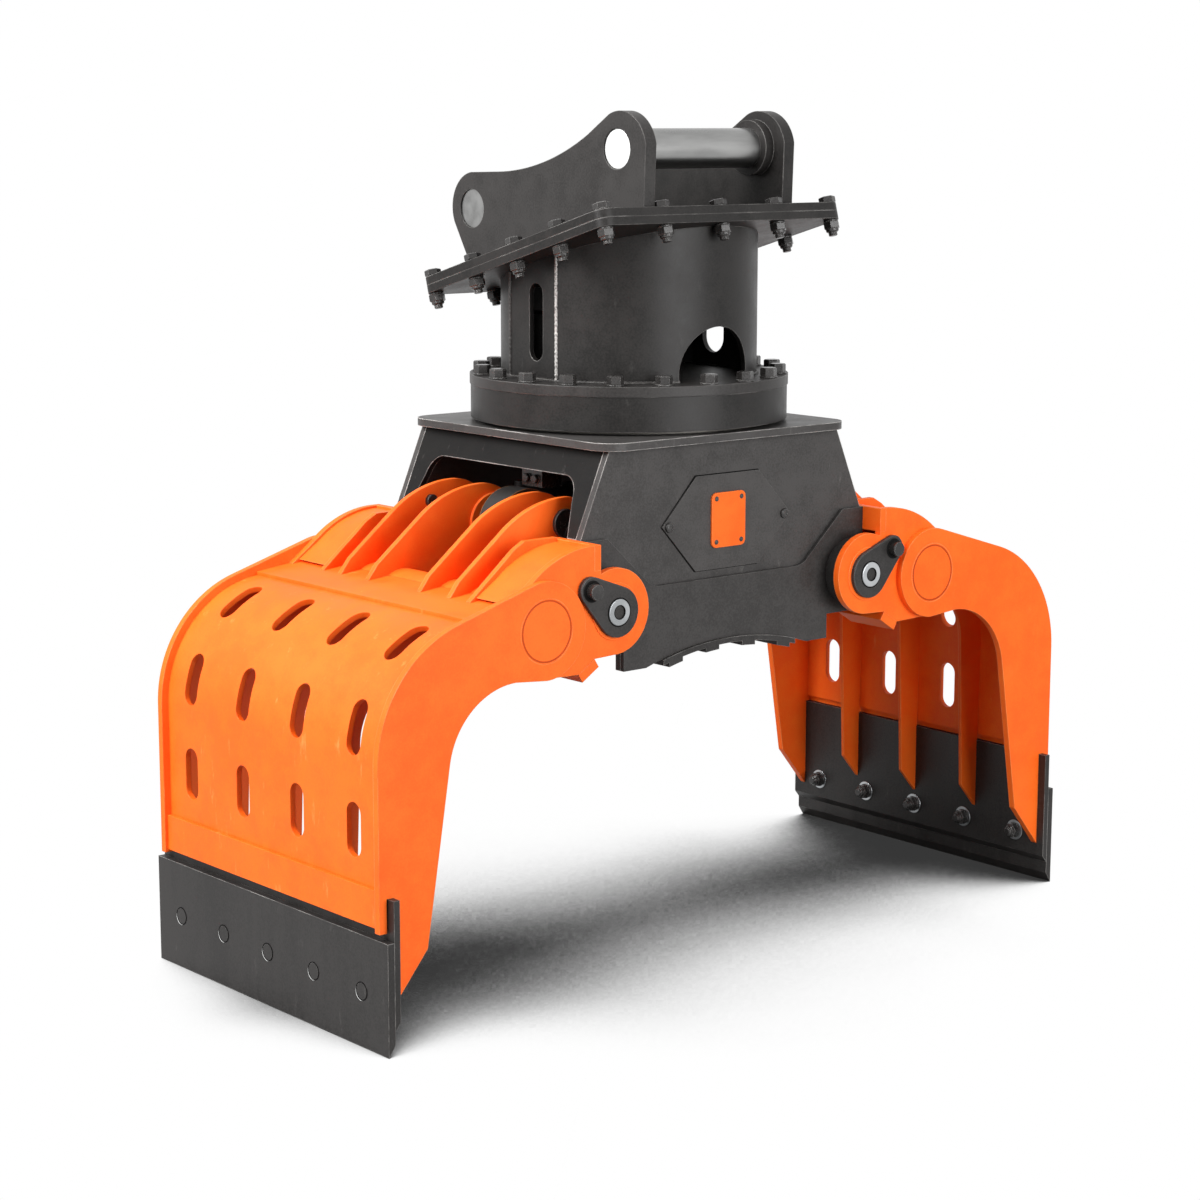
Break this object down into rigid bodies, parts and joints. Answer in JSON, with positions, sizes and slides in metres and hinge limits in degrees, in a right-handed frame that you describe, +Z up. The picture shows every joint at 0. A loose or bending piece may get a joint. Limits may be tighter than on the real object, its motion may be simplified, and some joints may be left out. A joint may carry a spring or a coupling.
{
  "type": "rotating sorting grapple",
  "caption": "Hydraulic sorting grapple with hinged slotted shells, bolted cutting blades, a slewing ring and a tilted pin-on head.",
  "frame": {"origin": "bottom centre of the open grapple's bounding box", "axes": "+Z up toward the head, +X toward the right shell, the pivot pins lie along Y and -Y is the front"},
  "size_m": [1.85, 0.8, 1.719],
  "materials": {
    "orange_paint": "satin",
    "black_paint": "satin",
    "wear_steel": "worn",
    "fastener": "satin",
    "gear_steel": "machined",
    "bright_steel": "ground",
    "chrome_rod": "polished"
  },
  "bodies": {
    "frame": {"frame_side_front": "black_paint", "frame_side_rear": "black_paint", "frame_doubler_front": "black_paint", "frame_doubler_rear": "black_paint", "frame_end_left": "black_paint", "frame_end_right": "black_paint", "frame_top_plate": "black_paint", "belly": "wear_steel", "frame_covers": "black_paint", "pivot_bosses": "black_paint", "ring_inner": "gear_steel"},
    "head": {"ring_outer": "black_paint", "slew_table": "black_paint", "ring_bolts": "fastener", "slew_motor": "black_paint", "neck": "black_paint", "head_adapter": "black_paint", "head_flange": "black_paint", "head_bolts": "fastener", "ear_left": "black_paint", "ear_right": "black_paint", "stick_pin_front": "bright_steel", "stick_pin_rear": "bright_steel"},
    "pinion": {"slew_pinion": "gear_steel"},
    "left_shell": {"left_side_front": "orange_paint", "left_side_rear": "orange_paint", "left_back_plate": "orange_paint", "left_back_strips": "orange_paint", "left_cross_tube": "orange_paint", "left_inner_ribs": "orange_paint", "left_hinge_outer": "orange_paint", "left_hinge_inner": "orange_paint", "left_hinge_covers": "orange_paint", "left_stops": "orange_paint", "left_lug_ribs": "orange_paint", "left_blade": "wear_steel", "left_backing_plate": "wear_steel", "left_plow_nuts": "fastener", "left_pins": "bright_steel", "left_keepers": "black_paint"},
    "right_shell": {"right_side_front": "orange_paint", "right_side_rear": "orange_paint", "right_back_plate": "orange_paint", "right_back_strips": "orange_paint", "right_cross_tube": "orange_paint", "right_inner_ribs": "orange_paint", "right_hinge_outer": "orange_paint", "right_hinge_inner": "orange_paint", "right_hinge_covers": "orange_paint", "right_stops": "orange_paint", "right_lug_ribs": "orange_paint", "right_blade": "wear_steel", "right_backing_plate": "wear_steel", "right_plow_nuts": "fastener", "right_pins": "bright_steel", "right_keepers": "black_paint"},
    "barrel_front": {"barrel_front": "black_paint"},
    "barrel_rear": {"barrel_rear": "black_paint"},
    "rod_front": {"rod_front": "chrome_rod"},
    "rod_rear": {"rod_rear": "chrome_rod"}
  },
  "joints": [
    {"name": "slew", "type": "hinge", "parent": "frame", "child": "head", "pos_m": [0, 0, 1.12], "axis": [0, 0, 1], "continuous": true},
    {"name": "pinion_spin", "type": "hinge", "parent": "head", "child": "pinion", "pos_m": [-0.10815, 0.14886, 1.12], "axis": [0, 0, 1], "continuous": true},
    {"name": "left_close", "type": "hinge", "parent": "frame", "child": "left_shell", "pos_m": [-0.3467, 0, 0.765], "axis": [0, -1, 0], "range_deg": [0, 58]},
    {"name": "right_close", "type": "hinge", "parent": "frame", "child": "right_shell", "pos_m": [0.3467, 0, 0.765], "axis": [0, 1, 0], "range_deg": [0, 58]},
    {"name": "barrel_front_pivot", "type": "hinge", "parent": "left_shell", "child": "barrel_front", "pos_m": [-0.297, -0.1345, 0.885], "axis": [0, 1, 0], "range_deg": [0, 58]},
    {"name": "rod_front_pivot", "type": "hinge", "parent": "right_shell", "child": "rod_front", "pos_m": [0.297, -0.1345, 0.885], "axis": [0, -1, 0], "range_deg": [0, 58]},
    {"name": "barrel_rear_pivot", "type": "hinge", "parent": "left_shell", "child": "barrel_rear", "pos_m": [-0.297, 0.1345, 0.885], "axis": [0, 1, 0], "range_deg": [0, 58]},
    {"name": "rod_rear_pivot", "type": "hinge", "parent": "right_shell", "child": "rod_rear", "pos_m": [0.297, 0.1345, 0.885], "axis": [0, -1, 0], "range_deg": [0, 58]}
  ],
  "couplings": [
    {"joint": "pinion_spin", "follows": "slew", "ratio": -4.2857},
    {"joint": "right_close", "follows": "left_close", "ratio": 1},
    {"joint": "barrel_front_pivot", "follows": "left_close", "ratio": 1},
    {"joint": "rod_front_pivot", "follows": "left_close", "ratio": 1},
    {"joint": "barrel_rear_pivot", "follows": "left_close", "ratio": 1},
    {"joint": "rod_rear_pivot", "follows": "left_close", "ratio": 1}
  ]
}
